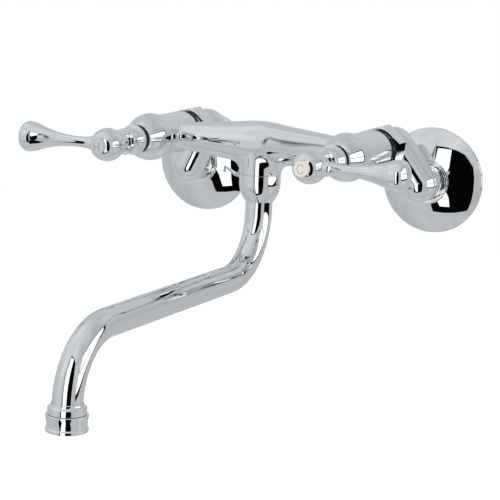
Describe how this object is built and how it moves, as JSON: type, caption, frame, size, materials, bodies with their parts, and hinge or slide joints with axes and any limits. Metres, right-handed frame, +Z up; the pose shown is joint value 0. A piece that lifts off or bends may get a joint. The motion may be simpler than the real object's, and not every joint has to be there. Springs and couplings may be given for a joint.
{
  "type": "wall-mounted basin faucet",
  "caption": "Bridge faucet hung on a wall: lever valves, offset wall arms on round flanges, and a swivelling tube spout with an aerated outlet.",
  "frame": {"origin": "on the finished wall, on the faucet's centre line, at the height of the two valve axes", "axes": "+X to the right as seen by someone facing the wall, +Y into the wall, +Z up"},
  "size_m": [0.2888, 0.3491, 0.165],
  "materials": {
    "polished_chrome": "mirror polished",
    "bare_brass": "turned",
    "black_rubber": "matt",
    "white_ceramic": "lapped",
    "screw_steel": "plain",
    "index_plastic": "gloss",
    "slide_plastic": "matt",
    "aerator_plastic": "matt"
  },
  "bodies": {
    "bridge": {"bridge_body": "polished_chrome", "spout_swivel_nut": "polished_chrome", "left_union_nut": "polished_chrome", "left_union_washer": "black_rubber", "left_seat_seal": "black_rubber", "left_fixed_disc": "white_ceramic", "left_cartridge_housing": "bare_brass", "left_cartridge_ring": "black_rubber", "left_bonnet": "polished_chrome", "right_union_nut": "polished_chrome", "right_union_washer": "black_rubber", "right_seat_seal": "black_rubber", "right_fixed_disc": "white_ceramic", "right_cartridge_housing": "bare_brass", "right_cartridge_ring": "black_rubber", "right_bonnet": "polished_chrome"},
    "left_handle": {"left_handle_hub": "polished_chrome", "left_lever": "polished_chrome", "left_handle_screw": "screw_steel", "left_index_button": "index_plastic", "left_valve_stem": "bare_brass", "left_moving_disc": "white_ceramic"},
    "right_handle": {"right_handle_hub": "polished_chrome", "right_lever": "polished_chrome", "right_handle_screw": "screw_steel", "right_index_button": "index_plastic", "right_valve_stem": "bare_brass", "right_moving_disc": "white_ceramic"},
    "spout": {"spout_tube": "polished_chrome", "spout_bushing": "bare_brass", "upper_spout_ring": "black_rubber", "lower_spout_ring": "black_rubber", "spout_glide_ring": "slide_plastic", "outlet_collar": "polished_chrome", "outlet_washer": "black_rubber", "aerator_housing": "polished_chrome", "aerator_insert": "aerator_plastic"},
    "left_arm": {"left_arm": "polished_chrome", "left_flange": "polished_chrome", "left_flange_ring": "black_rubber"},
    "right_arm": {"right_arm": "polished_chrome", "right_flange": "polished_chrome", "right_flange_ring": "black_rubber"}
  },
  "joints": [
    {"name": "left_handle_turn", "type": "hinge", "parent": "bridge", "child": "left_handle", "pos_m": [-0.0755, -0.12, 0], "axis": [0, -1, 0], "range_deg": [0, 90]},
    {"name": "right_handle_turn", "type": "hinge", "parent": "bridge", "child": "right_handle", "pos_m": [0.0755, -0.12, 0], "axis": [0, 1, 0], "range_deg": [0, 90]},
    {"name": "spout_swivel", "type": "hinge", "parent": "bridge", "child": "spout", "pos_m": [0, -0.088, -0.02], "axis": [0, 0, 1], "range_deg": [-90, 90]},
    {"name": "left_arm_swing", "type": "hinge", "parent": "bridge", "child": "left_arm", "pos_m": [-0.0755, -0.045, 0], "axis": [0, 1, 0], "range_deg": [-116, 64]},
    {"name": "right_arm_swing", "type": "hinge", "parent": "bridge", "child": "right_arm", "pos_m": [0.0755, -0.045, 0], "axis": [0, 1, 0], "range_deg": [-52, 128]}
  ]
}
